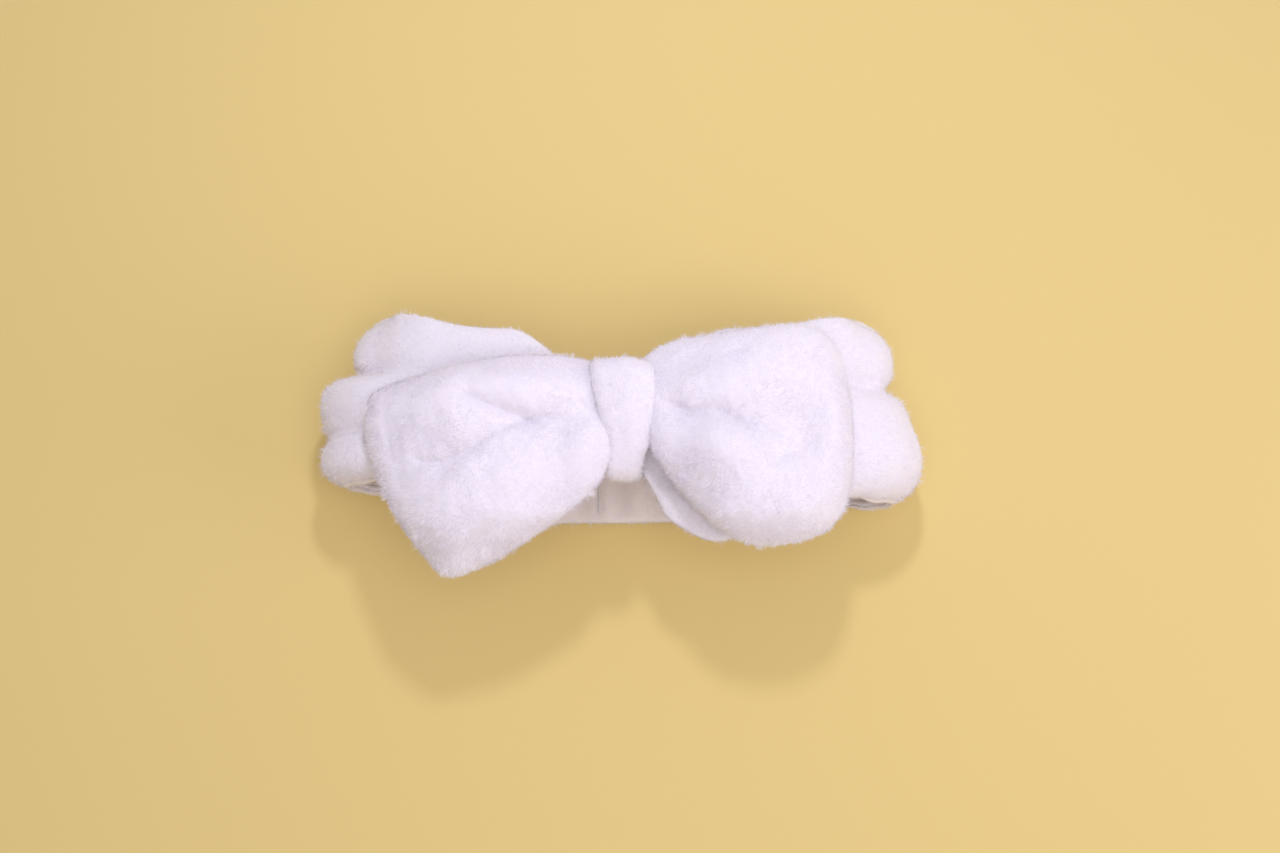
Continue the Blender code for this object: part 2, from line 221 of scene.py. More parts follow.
def fleece(name, colour, shade):
    """Matt fleece: tufts a few millimetres wide, broad soft changes of tone, and sheen."""
    made, shader = material(
        name, Roughness=0.95, Sheen_Weight=0.4, Sheen_Roughness=0.45, Subsurface_Weight=0.5,
        Subsurface_Radius=(1.0, 1.0, 1.0), Subsurface_Scale=0.003, Specular_IOR_Level=0.15,
    )
    tree = made.node_tree
    tufts = object_texture(tree, "ShaderNodeTexVoronoi", Scale=420.0)
    fibres = object_texture(tree, "ShaderNodeTexNoise", Scale=900.0, Detail=4.0, Roughness=0.7)
    broad = object_texture(tree, "ShaderNodeTexNoise", Scale=38.0, Detail=3.0)
    height = tree.nodes.new("ShaderNodeMath")
    height.operation = "SUBTRACT"
    tree.links.new(fibres.outputs["Fac"], height.inputs[0])
    tree.links.new(tufts.outputs["Distance"], height.inputs[1])
    raise_surface(tree, shader, height.outputs[0], 0.15, 1.2 * MM)
    colour_between(tree, shader, broad.outputs["Fac"], shade, colour, (0.3, 0.7))
    return made


def pile_tint(name, colour):
    """One fully matt tint of the pile's fibres."""
    return material(name, Base_Color=(*colour, 1), Roughness=1.0, Specular_IOR_Level=0.0)[0]


def ribbed(name, colour, scale, depth, axis):
    """Knitted elastic or twisted thread: fine ribs across one axis, with painted shade in the valleys."""
    made, shader = material(name, Roughness=0.7)
    tree = made.node_tree
    ribs = object_texture(tree, "ShaderNodeTexWave", Scale=scale, Distortion=0.6, Detail=2.0)
    ribs.bands_direction = axis
    raise_surface(tree, shader, ribs.outputs["Fac"], 0.6, depth)
    # Painted shade: the colour darkens to 0.86 of itself where the ribs run low.
    colour_between(tree, shader, ribs.outputs["Fac"], [c * 0.86 for c in colour], colour)
    return made


WHITE = (0.86, 0.82, 0.89)
SHADE = (0.84, 0.80, 0.87)
BAND_FLEECE = fleece("band_fleece", WHITE, SHADE)
# Painted shade: the lining is darker and warmer than the outer fleece, for the shade inside the ring under
# the front band and bow.
LINING_FLEECE_PAINTED_SHADE = fleece("lining_fleece", (0.86, 0.79, 0.77), (0.82, 0.75, 0.73))
BOW_FLEECE = fleece("bow_fleece", WHITE, SHADE)
KNOT_FLEECE = fleece("knot_fleece", WHITE, SHADE)
PILE_TINTS = [
    pile_tint("pile_white", (0.785, 0.75, 0.80)),
    pile_tint("pile_lavender", (0.78, 0.75, 0.805)),
    pile_tint("pile_rose", (0.79, 0.75, 0.795)),
]
ELASTIC = ribbed("knitted_elastic", (0.86, 0.85, 0.83), 300.0, 0.4 * MM, "Y")
THREAD = ribbed("sewing_thread", (0.85, 0.84, 0.86), 900.0, 0.1 * MM, "DIAGONAL")


# ---------------------------------------------------------------- the band


def band_width_and_middle(quarter, share):
    """Half the band's width and its middle line's Y.

    The ring's quarters are 0 for the back, 1 for the right turn, 2 for the front and 3 for the left turn.
    """
    if quarter == 0:
        off_centre = 2 * share - 1
        return HALF_WIDTH_BACK, mix(MIDDLE_BACK, MIDDLE_BACK_ENDS, off_centre**2)
    if quarter == 2:
        off_centre = 1 - 2 * share
        open_share = smooth(abs(off_centre) * FLAT_HALF, *PINCH_SPAN)
        return (
            mix(HALF_WIDTH_KNOT, HALF_WIDTH_FRONT, open_share),
            mix(MIDDLE_KNOT, MIDDLE_FRONT_ENDS, off_centre**2),
        )
    up = smooth(share if quarter == 1 else 1 - share, 0, 1)
    return mix(HALF_WIDTH_BACK, HALF_WIDTH_FRONT, up), mix(MIDDLE_BACK_ENDS, MIDDLE_FRONT_ENDS, up)


def ring_quarter(quarter, share):
    """Outer line of the ring in XZ, and its outward normal, along one quarter."""
    if quarter == 0:
        x = FLAT_HALF * (2 * share - 1)
        return x, np.zeros_like(x), np.zeros_like(x), -np.ones_like(x)
    if quarter == 2:
        x = FLAT_HALF * (1 - 2 * share)
        z = 2 * TURN_RADIUS_Z + FRONT_CROWN * (1 + np.cos(math.pi * x / FLAT_HALF)) / 2
        slope = FRONT_CROWN * math.pi / FLAT_HALF * np.sin(math.pi * x / FLAT_HALF) / 2
        return x, z, slope / np.hypot(slope, 1), 1 / np.hypot(slope, 1)
    side, turn = (1, math.pi * share) if quarter == 1 else (-1, math.pi * (1 - share))
    x = side * (FLAT_HALF + TURN_REACH * np.sin(turn))
    z = TURN_RADIUS_Z * (1 - np.cos(turn))
    nx, nz = side * TURN_RADIUS_Z * np.sin(turn), -TURN_REACH * np.cos(turn)
    length = np.hypot(nx, nz)
    return x, z, nx / length, nz / length


# Lengthwise folds at each turn, from the upper edge down: each groove's Y, depth and half-width.
# Where the turns differ, -1 is the left one and 1 the right one.
LEFT_GROOVES = ((18.5 * MM, 3.6 * MM, 3.0 * MM), (-6 * MM, 0.9 * MM, 3.0 * MM))
RIGHT_GROOVES = ((13 * MM, 3.5 * MM, 3.0 * MM),)
HIGH_FOLD_INSET = {-1: 12 * MM, 1: 5 * MM}
LOW_FOLD_TAPER = {-1: 0, 1: 5.5 * MM}
LOW_FOLD_TAPER_SPAN = (-18 * MM, 13 * MM)
FOLD_EDGES = (-36 * MM, 40 * MM)
FOLD_SWELL = 3.2 * MM
FOLD_STEP_HALF = 3 * MM
UPPER_EDGE_INSET = 4.5 * MM
LOWER_EDGE_INSET = 7 * MM
EDGE_INSET_FROM = 0.55

# The highest fold at each turn is pressed flatter. Any deeper, and the tube would fold through itself.
HIGH_FOLD_FLAT = 0.45
HIGH_FOLD_SPAN = (10 * MM, 20 * MM)
DEEPEST_INSET = 19.5 * MM


def side_folds(y, x, across, at_turn):
    """How far the outer face stands out at the turns, where the tube is folded lengthwise."""
    corner = np.clip((np.abs(across) - EDGE_INSET_FROM) / (1 - EDGE_INSET_FROM), 0, 1)
    inset = np.where(across > 0, UPPER_EDGE_INSET, LOWER_EDGE_INSET)
    depth = -at_turn * inset * (1 - np.sqrt(1 - corner**2))
    for grooves, sign in ((LEFT_GROOVES, -1), (RIGHT_GROOVES, 1)):
        here = at_turn * (np.sign(x) == sign)
        for line, deep, half in grooves:
            depth -= here * deep * groove(y, line, half)
        step = grooves[0][0]
        step_span = (step - FOLD_STEP_HALF, step + FOLD_STEP_HALF)
        depth -= here * HIGH_FOLD_INSET[sign] * smooth(y, *step_span)
        depth -= here * LOW_FOLD_TAPER[sign] * smooth(y, *LOW_FOLD_TAPER_SPAN)
        edges = (FOLD_EDGES[0], *sorted(line for line, _, _ in grooves), FOLD_EDGES[1])
        for low, high in zip(edges, edges[1:]):
            depth += here * FOLD_SWELL * hump(y, (low + high) / 2, (high - low) / 2)
    return depth


# Right of the knot the front's lower edge opens out in a flare, and the turns' edges are lifted.
FLARE_DEPTH = 16.5 * MM
FLARE_START = (5 * MM, 20 * MM)
FLARE_END = (70 * MM, 16 * MM)
LOWER_EDGE_LIFT = {-1: 10.5 * MM, 1: 3.5 * MM}
UPPER_EDGE_LIFT = {-1: 3.5 * MM, 1: 1.5 * MM}
LOWER_LIFT_SPAN = (70 * MM, 100 * MM)
UPPER_LIFT_SPAN = (66 * MM, 96 * MM)


def edge_shift(quarter, x, across):
    """How far each long edge leaves its straight line, along Y."""
    low_lift, high_lift = (
        np.where(x < 0, lift[-1], lift[1]) * smooth(np.abs(x), *span)
        for lift, span in ((LOWER_EDGE_LIFT, LOWER_LIFT_SPAN), (UPPER_EDGE_LIFT, UPPER_LIFT_SPAN))
    )
    flare = FLARE_DEPTH * smooth(x, *FLARE_START) * smooth(x, *FLARE_END) if quarter == 2 else 0
    low_side, high_side = (np.clip(sign * across, 0, 1) ** 1.5 for sign in (-1, 1))
    return (low_lift - flare) * low_side + high_lift * high_side


# The cloth that the band lies on is pressed flat at this height, and its pile fills the space below.
REST_HEIGHT = 0.5 * MM

STATIONS_PER_QUARTER = (96, 56, 110, 56)
SECTION_POINTS = 64


def tube_place(quarter, share, across, rise):
    """Places on the tube before its gathers.

    They are points of the ring's outer line, that line's normals, and how far out each place is.
    """
    half, middle = band_width_and_middle(quarter, share)
    x, z, nx, nz = ring_quarter(quarter, share)
    y = middle + across * half + edge_shift(quarter, x, across)
    y += edge_ruffle(quarter + share, across)
    at_turn = smooth(np.abs(x), *TURN_SPAN)
    thick = BAND_THICK * (1 - HIGH_FOLD_FLAT * at_turn * smooth(y, *HIGH_FOLD_SPAN))
    out = side_folds(y, x, across, at_turn) - (1 - rise) * thick / 2
    return x, y, z, nx, nz, np.maximum(out, -DEEPEST_INSET)


def band_skin(label, start_angle):
    """One panel of the tube as an open sheet: half of its section, carried round the ring."""
    angles = np.linspace(start_angle, start_angle + math.pi, SECTION_POINTS)
    across = squarer(np.cos(angles), BAND_SQUARENESS)
    rise = squarer(np.sin(angles), BAND_SQUARENESS)
    rows = []
    for quarter, count in enumerate(STATIONS_PER_QUARTER):
        share = np.repeat(np.arange(count)[:, None] / count, SECTION_POINTS, axis=1)
        x, y, z, nx, nz, out = tube_place(quarter, share, across, rise)
        out += gathers(quarter, x, y, rise, label)
        rows.append(np.stack([x + nx * out, y, z + nz * out], axis=-1))
    points = np.concatenate(rows)
    points[..., 2] = np.maximum(points[..., 2], REST_HEIGHT)
    count = len(points)
    faces = []
    for i in range(count):
        for j in range(SECTION_POINTS - 1):
            a, b = i * SECTION_POINTS + j, (i + 1) % count * SECTION_POINTS + j
            faces.append((a, a + 1, b + 1, b))
    name = f"band_{label}_panel"
    return link(name, mesh_from(name, points + np.array(RING_MIDDLE), faces))


EDGE_RUFFLE = 0.6 * MM


def edge_ruffle(along, across):
    """The long edges of the tube wander a little, in and out."""
    wave = np.sin(along * 4 * math.pi + 2 * np.sign(across)) + 0.5 * np.sin(along * 9 * math.pi)
    return np.abs(across) ** 4 * np.sign(across) * EDGE_RUFFLE * wave


# Gathers over the elastic, and the closing seam across them.
GATHER_DEPTH = {"outer": 0.9 * MM, "lining": 1.5 * MM}
GATHER_LENGTH = 3.1 * MM
GATHER_FADE = (90 * MM, 70 * MM)
BACK_SEAM_X = -9 * MM
BACK_SEAM_DEPTH = 2.6 * MM
BACK_SEAM_HALF = 1.6 * MM

# On the front: pulls that run into the knot, and broad rolls beyond it.
PULL_DEPTH = 1.1 * MM
PULL_LENGTH = 2.6 * MM
PULL_FADE = (60 * MM, 14 * MM)
ROLL_DEPTH = 1.2 * MM
ROLL_LENGTH = 8.5 * MM
ROLL_FADE = (FLAT_HALF, 60 * MM)
ROLL_RISE = (5 * MM, 30 * MM)


def gathers(quarter, x, y, rise, label):
    """Cross folds: gathers over the elastic, the closing seam, and soft pulls towards the knot."""
    if quarter == 0:
        wave = np.sin(x / GATHER_LENGTH + 1.6 * np.sin(x / (13 * MM)) + y / (22 * MM))
        depth = GATHER_DEPTH[label] * (wave - 1) * smooth(np.abs(x), *GATHER_FADE)
        seam = BACK_SEAM_DEPTH * groove(x, BACK_SEAM_X, BACK_SEAM_HALF)
        return (depth - seam) * rise**2 * (1 if label == "outer" else -1)
    if quarter == 2:
        pulls = PULL_DEPTH * np.sin(y / PULL_LENGTH + x / (9 * MM)) * smooth(np.abs(x), *PULL_FADE)
        rolls = ROLL_DEPTH * np.sin(x / ROLL_LENGTH + y / (13 * MM)) * smooth(y, *ROLL_RISE)
        rolls *= smooth(np.abs(x), *ROLL_FADE)
        return (pulls + rolls) * rise**2
    return np.zeros_like(x)


def thicken(obj, thickness):
    """Give an open sheet its cloth thickness, inwards from the visible face."""
    solid = obj.modifiers.new("cloth", "SOLIDIFY")
    solid.thickness = thickness
    solid.offset = -1
    solid.use_even_offset = False
    apply_modifiers(obj)
    obj.data.shade_smooth()


def face_out(obj, towards):
    """Turn the sheet's faces so that their normals agree with towards(points)."""
    mesh = obj.data
    centres = np.empty(len(mesh.polygons) * 3)
    normals = np.empty(len(mesh.polygons) * 3)
    mesh.polygons.foreach_get("center", centres)
    mesh.polygons.foreach_get("normal", normals)
    centres, normals = centres.reshape(-1, 3), normals.reshape(-1, 3)
    if (towards(centres) * normals).sum() < 0:
        mesh.flip_normals()


def away_from_ring_line(points):
    """Direction from the middle of the ring's opening to each point, in XZ."""
    middle = Vector((0, 0, TURN_RADIUS_Z))
    out = points - np.array(middle)
    out[:, 0] -= np.clip(points[:, 0], -FLAT_HALF, FLAT_HALF)
    out[:, 1] = 0
    return out


def stretch_with_ring(obj):
    """Bake the piece's place into its mesh. Nothing here makes it stretch as the ring is pulled open."""
    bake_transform(obj)


def finish_panel(label, sheet, fur, finish):
    """Thicken one of the tube's panels, give it its finish, hide the CAD nodes that it and its pile stand
    in for, and bake their places.
    """
    thicken(sheet, SKIN)
    sheet.data.materials.append(finish)
    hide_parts(f"front_{label}", f"left_side_{label}", f"right_side_{label}")
    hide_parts(f"back_{label}_left", f"back_{label}_right")
    for piece in (sheet, fur):
        stretch_with_ring(piece)


def band():
    """The tube's two panels, which together go once round its section, and their pile."""
    outer, lining = band_skin("outer", 0), band_skin("lining", math.pi)
    face_out(outer, away_from_ring_line)
    face_out(lining, lambda points: -away_from_ring_line(points))
    outer_pile, lining_pile = pile("band_outer", outer), pile("band_lining", lining)
    finish_panel("outer", outer, outer_pile, BAND_FLEECE)
    finish_panel("lining", lining, lining_pile, LINING_FLEECE_PAINTED_SHADE)


# ---------------------------------------------------------------- the pile


def sheet_samples(obj, count, random):
    """Random points on the object's faces, with the faces' smooth normals."""
    mesh = obj.data
    mesh.calc_loop_triangles()
    corners = np.empty(len(mesh.loop_triangles) * 3, np.int32)
    mesh.loop_triangles.foreach_get("vertices", corners)
    corners = corners.reshape(-1, 3)
    points, normals = coordinates(mesh), vertex_normals(mesh)
    a, b, c = (points[corners[:, i]] for i in range(3))
    area = np.linalg.norm(np.cross(b - a, c - a), axis=1) / 2
    chosen = random.choice(len(area), size=count, p=area / area.sum())
    u, v = random.random(count), random.random(count)
    fold = u + v > 1
    u[fold], v[fold] = 1 - u[fold], 1 - v[fold]
    weights = np.stack([1 - u - v, u, v], axis=1)
    roots = (points[corners[chosen]] * weights[:, :, None]).sum(axis=1)
    upright = (normals[corners[chosen]] * weights[:, :, None]).sum(axis=1)
    upright /= np.linalg.norm(upright, axis=1, keepdims=True)
    return roots, upright


# Each pile's number of blades, their length and the seed of its random draws.
PILES = {
    "band_outer": (49000, 2.3 * MM, 11),
    "band_lining": (34000, 1.7 * MM, 12),
    "left_loop": (49500, 2.3 * MM, 13),
    "right_loop": (49500, 2.3 * MM, 14),
    "knot": (18000, 1.8 * MM, 15),
}

# Tufts are the cells of a slightly bent grid.
TUFT_SIZE = 2.6 * MM
TUFT_BEND = 0.5 * MM

# A blade is a thin closed spike. Its foot is sunk in the cloth by BLADE_ROOT.
BLADE_HALF_WIDTH = 0.22 * MM
BLADE_THICK = 0.04 * MM
BLADE_ROOT = 0.1 * MM
BLADE_CORNERS = 4
BLADE_FACES = ((0, 1, 3), (1, 2, 3), (2, 0, 3), (0, 2, 1))

# Most blades lie along the cloth. Some, and every blade of a stray tuft, stand up and are narrower.
LYING = (math.radians(62), math.radians(82))
STANDING = (math.radians(15), math.radians(55))
STANDING_SHARE = 0.2
STANDING_WIDTH = 0.5
STRAY_SHARE = 0.12

# A blade's length, as shares of the pile's: its tuft's, with more for a stray tuft, and its own.
TUFT_REACH = (0.85, 1.15)
STRAY_REACH = 0.4
OWN_REACH = (0.7, 1.1)

# How far a whole tuft, and each blade in it, leaves the way that the pile is brushed.
TUFT_WANDER = 0.25
BLADE_WANDER = 0.4

# A blade's face is shaded with its own direction and a share of the cloth's, which is tipped upwards
# first. Neither is physical. They make the pile look brighter along creases and far edges.
CLOTH_SHARE = 0.33
UPWARD_TIP = 0.35


def tuft_numbers(roots):
    """Which tuft each root belongs to."""
    bend = np.stack([soft_noise(roots, 6 * MM, seed, 1) for seed in (3, 4, 5)], axis=1)
    cells = np.floor((roots + TUFT_BEND * bend) / TUFT_SIZE).astype(int)
    return np.unique(cells, axis=0, return_inverse=True)[1].reshape(-1)


def unit(vectors):
    """The same directions, each 1 long."""
    return vectors / np.linalg.norm(vectors, axis=1, keepdims=True)


def nap(roots, tuft, random):
    """The way the pile is brushed: it wanders slowly over the cloth, and a little from tuft to tuft."""
    brushed = np.stack([soft_noise(roots, 34 * MM, seed, 2) for seed in (6, 7, 8)], axis=1)
    own = random.normal(size=(tuft.max() + 1, 3))[tuft] * TUFT_WANDER
    return brushed + own + random.normal(size=roots.shape) * BLADE_WANDER


def blade_points(roots, upright, tuft, length, random):
    """The corners of each blade: three at its foot and the tip. None goes through the table."""
    count, tufts = len(roots), tuft.max() + 1
    brushed = nap(roots, tuft, random)
    sideways = unit(brushed - (brushed * upright).sum(axis=1, keepdims=True) * upright)
    stray = random.random(tufts) < STRAY_SHARE
    standing = (random.random((count, 1)) < STANDING_SHARE) | stray[tuft][:, None]
    lean = np.where(standing, random.uniform(*STANDING, (count, 1)), random.uniform(*LYING, (count, 1)))
    half_width = BLADE_HALF_WIDTH * np.where(standing, STANDING_WIDTH, 1)
    along = upright * np.cos(lean) + sideways * np.sin(lean)
    tuft_reach = random.uniform(*TUFT_REACH, tufts) + STRAY_REACH * stray
    reach = length * tuft_reach[tuft] * random.uniform(*OWN_REACH, count)
    side = unit(np.cross(along, upright))
    over = np.cross(side, along)
    foot = roots - BLADE_ROOT * upright
    corners = [foot - half_width * side, foot + half_width * side, foot - BLADE_THICK * over]
    points = np.stack([*corners, foot + reach[:, None] * along], axis=1).reshape(-1, 3)
    points[:, 2] = np.maximum(points[:, 2], 0)
    return points


def blade_mesh(name, points, tints):
    """A mesh of blades, each with one of the pile's tints."""
    first = BLADE_CORNERS * np.arange(len(tints))[:, None, None]
    faces = (first + np.array(BLADE_FACES)).reshape(-1, 3)
    mesh = bpy.data.meshes.new(name)
    mesh.vertices.add(len(points))
    mesh.vertices.foreach_set("co", points.ravel())
    mesh.loops.add(faces.size)
    mesh.loops.foreach_set("vertex_index", faces.ravel())
    mesh.polygons.add(len(faces))
    mesh.polygons.foreach_set("loop_start", np.arange(0, faces.size, 3))
    for tint in PILE_TINTS:
        mesh.materials.append(tint)
    mesh.polygons.foreach_set("material_index", np.repeat(tints, len(BLADE_FACES)).astype(np.int32))
    mesh.update(calc_edges=True)
    mesh.shade_smooth()
    return mesh


def soften(mesh, upright):
    """Set the direction that each face of the blades is shaded with."""
    facing = np.empty(len(mesh.polygons) * 3)
    mesh.polygons.foreach_get("normal", facing)
    cloth = np.repeat(upright + (0, 0, UPWARD_TIP), len(BLADE_FACES), axis=0)
    soft = unit(facing.reshape(-1, 3) + CLOTH_SHARE * cloth)
    mesh.normals_split_custom_set(np.repeat(soft, 3, axis=0).tolist())


def pile(label, base):
    """The fleece's pile: thin tapered blades that lean over the base's faces, in soft tufts."""
    count, length, seed = PILES[label]
    random = np.random.default_rng(seed)
    roots, upright = sheet_samples(base, count, random)
    tuft = tuft_numbers(roots)
    points = blade_points(roots, upright, tuft, length, random)
    tints = random.integers(0, len(PILE_TINTS), tuft.max() + 1)[tuft]
    mesh = blade_mesh(f"{label}_pile", points, tints)
    soften(mesh, upright)
    made = link(mesh.name, mesh)
    # The pile casts no shadow, so that it doesn't darken itself or the cloth below.
    made.visible_shadow = False
    return made


# ---------------------------------------------------------------- the bow


# Each loop's edge, seen from above, as (x, y) in mm, and the middle that its rings close in on.
LEFT_EDGE = (
    (-5, 17), (-13, 20), (-23, 21.5), (-34, 21.5), (-44, 21), (-56, 19), (-73, 15), (-89, 11), (-97, 7),
    (-99, -4), (-97, -16), (-94, -24), (-89, -34), (-82, -46), (-76, -54), (-70, -61), (-64, -63.5),
    (-58, -61.5), (-48, -57.5), (-35, -50), (-23, -42.5), (-14, -35), (-7, -28), (-3, -19), (-2, -9),
    (-5, 2),
)
LEFT_MIDDLE = (-54, -18)
RIGHT_EDGE = (
    (6, 18), (11, 22.5), (17, 26), (23, 28), (36, 29.5), (51, 32), (67, 33.5), (77, 32.5), (83, 28),
    (87, 17), (89, 4), (89.5, -13), (88.5, -28), (85, -39), (79, -46), (70, -49.5), (60, -51.5),
    (50, -51.5), (43, -49), (35.5, -44.5), (27.5, -37), (20, -28), (13.5, -19), (9.5, -9), (7, 2),
)
RIGHT_MIDDLE = (51, -10)

# Puffs of the upper face: middle (x, y), half sizes, turn in degrees and height, all but the turn in mm.
LEFT_PUFFS = (
    ((-37, 11), (28, 9), 3, 3.5),
    ((-66, -3), (26, 10), -10, 3.2),
    ((-40, -25), (30, 14), 24, 2.0),
    ((-14, -13), (11, 14), 0, 4.0),
    ((-93, -8), (6, 20), 4, 2.4),
)
RIGHT_PUFFS = (
    ((38, -18), (20, 13), -14, 7.5),
    ((84, -4), (6.5, 32), 2, 3.6),
    ((45, 17), (30, 11), 4, 2.6),
    ((17, -8), (8, 14), 0, 2.5),
    ((62, -40), (24, 9), 4, 2.6),
    ((66, -7), (13, 13), 0, -6.5),
)

# Creases: (depth, half-width) in mm, then the line's points (x, y).
LEFT_CREASES = (
    (6.2, 3.4, (
        (-62, 4.5), (-57.8, 3.2), (-50.6, 0.2), (-43.1, -2.8), (-34.8, -5.1), (-28.2, -4.6), (-16, -4.8),
    )),
    (4.4, 3.6, (
        (-32, -3.6), (-36.4, -6.1), (-46.8, -11.1), (-55, -16.8), (-66.9, -21.7), (-74.3, -21.7),
        (-80, -17),
    )),
    (1.6, 4.0, ((-90, 6), (-89, -8), (-86, -22), (-80, -36))),
)
RIGHT_CREASES = (
    (8.0, 3.4, (
        (12, 2.6), (19.6, 0.4), (26, -1.9), (36.6, -1.5), (44.8, -5.3), (52.6, -9.2), (68, -9.5),
    )),
    (4.0, 5.5, ((53.7, -20.8), (63.9, -18.1), (76, -13))),
    (1.6, 5.0, ((22, 22), (36, 20), (52, 24))),
)

# How much of its depth a crease has along its line: it fades in, and it fades out backwards.
CREASE_FADES = ((-0.05, 0.25), (1.05, 0.7))

LOOP_RINGS = 64
LOOP_EDGE_POINTS = 280

# Height of a loop's middle surface at its neck, middle and end, and the |x| between which it changes.
HEIGHT_NECK = 62.2 * MM
HEIGHT_MIDDLE = 64.6 * MM
HEIGHT_END = 54.5 * MM
NECK_SPAN = (13 * MM, 43 * MM)
END_SPAN = (60 * MM, 98 * MM)

# The lowest tip and the upper edge drop, and the low side of the neck is lifted.
TIP_DROP = 11 * MM
TIP_SPAN = (-40 * MM, -62 * MM)
HIGH_EDGE_DROP = 4 * MM
HIGH_EDGE_SPAN = (2 * MM, 20 * MM)
NECK_LIFT = 4 * MM
NECK_LIFT_SPAN_Y = (0, -12 * MM)
NECK_LIFT_SPAN_X = (24 * MM, 10 * MM)

HALF_THICK_NECK = 8.5 * MM
HALF_THICK = 11.5 * MM
UNDER_SHARE = 0.9

# Uneven stuffing: each ripple's depth, size and seed.
RIPPLES = ((0.5 * MM, 24 * MM, 21), (0.3 * MM, 9 * MM, 31))


def soft_edge(points, count, rounds=5):
    """count evenly spaced points on a closed line through the given points, with softened corners."""
    closed = np.array([*points, points[0]]) * MM
    reach = np.concatenate([[0], np.cumsum(np.linalg.norm(np.diff(closed, axis=0), axis=1))])
    spots = np.linspace(0, reach[-1], count, endpoint=False)
    line = np.stack([np.interp(spots, reach, closed[:, i]) for i in (0, 1)], axis=1)
    for _ in range(rounds):
        line = (np.roll(line, 1, axis=0) + 2 * line + np.roll(line, -1, axis=0)) / 4
    return line


def line_distance(points, line):
    """Distance in XY from each point to a line of (x, y) in mm, and how far along it, 0 to 1."""
    line = np.array(line) * MM
    best, along = np.full(len(points), 1e9), np.zeros(len(points))
    for i, (a, b) in enumerate(zip(line, line[1:])):
        span = b - a
        share = np.clip(((points - a) @ span) / (span @ span), 0, 1)
        away = np.linalg.norm(points - a - share[:, None] * span, axis=1)
        nearer = away < best
        best = np.where(nearer, away, best)
        along = np.where(nearer, (i + share) / (len(line) - 1), along)
    return best, along


def puff_height(points, puffs):
    """Soft turned ovals added together."""
    total = np.zeros(len(points))
    for middle, halves, turn, height in puffs:
        cos, sin = math.cos(math.radians(turn)), math.sin(math.radians(turn))
        away = (points - np.array(middle) * MM) @ np.array([[cos, -sin], [sin, cos]])
        total += height * MM * np.exp(-((away / (np.array(halves) * MM)) ** 2).sum(axis=1))
    return total


def crease_depth(points, creases):
    """Sharp-bottomed folds with round shoulders, fading out towards both ends of each line."""
    total = np.zeros(len(points))
    for depth, half, line in creases:
        away, along = line_distance(points, line)
        fade = smooth(along, *CREASE_FADES[0]) * smooth(along, *CREASE_FADES[1])
        total += depth * MM * np.exp(-away / (half * MM)) * fade
    return total


def loop_heights(flat, share, puffs, creases):
    """Heights of a loop's upper and under face. Share is 1 at the loop's edge and 0 in its middle."""
    reach = np.abs(flat[:, 0])
    middle = mix(HEIGHT_NECK, HEIGHT_MIDDLE, smooth(reach, *NECK_SPAN))
    middle = mix(middle, HEIGHT_END, smooth(reach, *END_SPAN))
    middle -= TIP_DROP * smooth(flat[:, 1], *TIP_SPAN)
    middle -= HIGH_EDGE_DROP * smooth(flat[:, 1], *HIGH_EDGE_SPAN)
    middle += NECK_LIFT * smooth(flat[:, 1], *NECK_LIFT_SPAN_Y) * smooth(reach, *NECK_LIFT_SPAN_X)
    thick = mix(HALF_THICK_NECK, HALF_THICK, smooth(reach, *NECK_SPAN))
    crown = thick * np.sqrt(1 - share**4)
    inner = 1 - share**5
    relief = (puff_height(flat, puffs) - crease_depth(flat, creases)) * inner
    places = np.c_[flat, middle]
    ripple = sum(depth * soft_noise(places, size, seed) * inner for depth, size, seed in RIPPLES)
    return middle + crown + relief + ripple, middle - crown * UNDER_SHARE + ripple


def loop_faces(around, under_lift):
    """Faces between a loop's rings. Both sides share the edge ring, and end in triangles at the middle."""
    faces = []
    middle = LOOP_RINGS * around
    for lift, order in ((0, 1), (under_lift, -1)):
        for ring in range(LOOP_RINGS):
            for i in range(around):
                a, b = ring * around + i, ring * around + (i + 1) % around
                corners = [a, b, b + around, a + around] if ring < LOOP_RINGS - 1 else [a, b, middle]
                lifted = [corner if corner < around else corner + lift for corner in corners]
                faces.append(lifted[::order])
    return faces


def loop_cloth(name, edge, middle, puffs, creases):
    """A loop's cloth as one closed form: rings of points from its edge in to its middle, on both faces."""
    line = soft_edge(edge, LOOP_EDGE_POINTS)
    centre = np.array(middle) * MM
    shares = np.cos(np.linspace(0, math.pi / 2, LOOP_RINGS + 1))[:-1]
    flat = np.concatenate([centre + share * (line - centre) for share in shares] + [centre[None]])
    share = np.concatenate([np.repeat(shares, len(line)), [0]])
    upper, under = loop_heights(flat, share, puffs, creases)
    top = np.c_[flat, upper]
    bottom = np.c_[flat, under][len(line):]
    points = np.concatenate([top, bottom]) + np.array(RING_MIDDLE)
    obj = link(name, mesh_from(name, points, loop_faces(len(line), len(top) - len(line))))
    face_out(obj, lambda spots: spots - np.array([*centre, HEIGHT_MIDDLE]) - np.array(RING_MIDDLE))
    obj.data.shade_smooth()
    return obj


# The CAD nodes of each loop that its new cloth and pile stand in for.
LOOP_PARTS = ("top_panel", "under_panel", "wadding", "edge_seam")


def bow_loop(label, edge, middle, puffs, creases):
    """A padded loop with its pile. The label is left or right."""
    cloth = loop_cloth(f"{label}_loop_cloth", edge, middle, puffs, creases)
    fur = pile(f"{label}_loop", cloth)
    cloth.data.materials.append(BOW_FLEECE)
    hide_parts(*[f"{label}_loop_{part}" for part in LOOP_PARTS])
    for piece in (cloth, fur):
        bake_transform(piece)


# ---------------------------------------------------------------- the knot


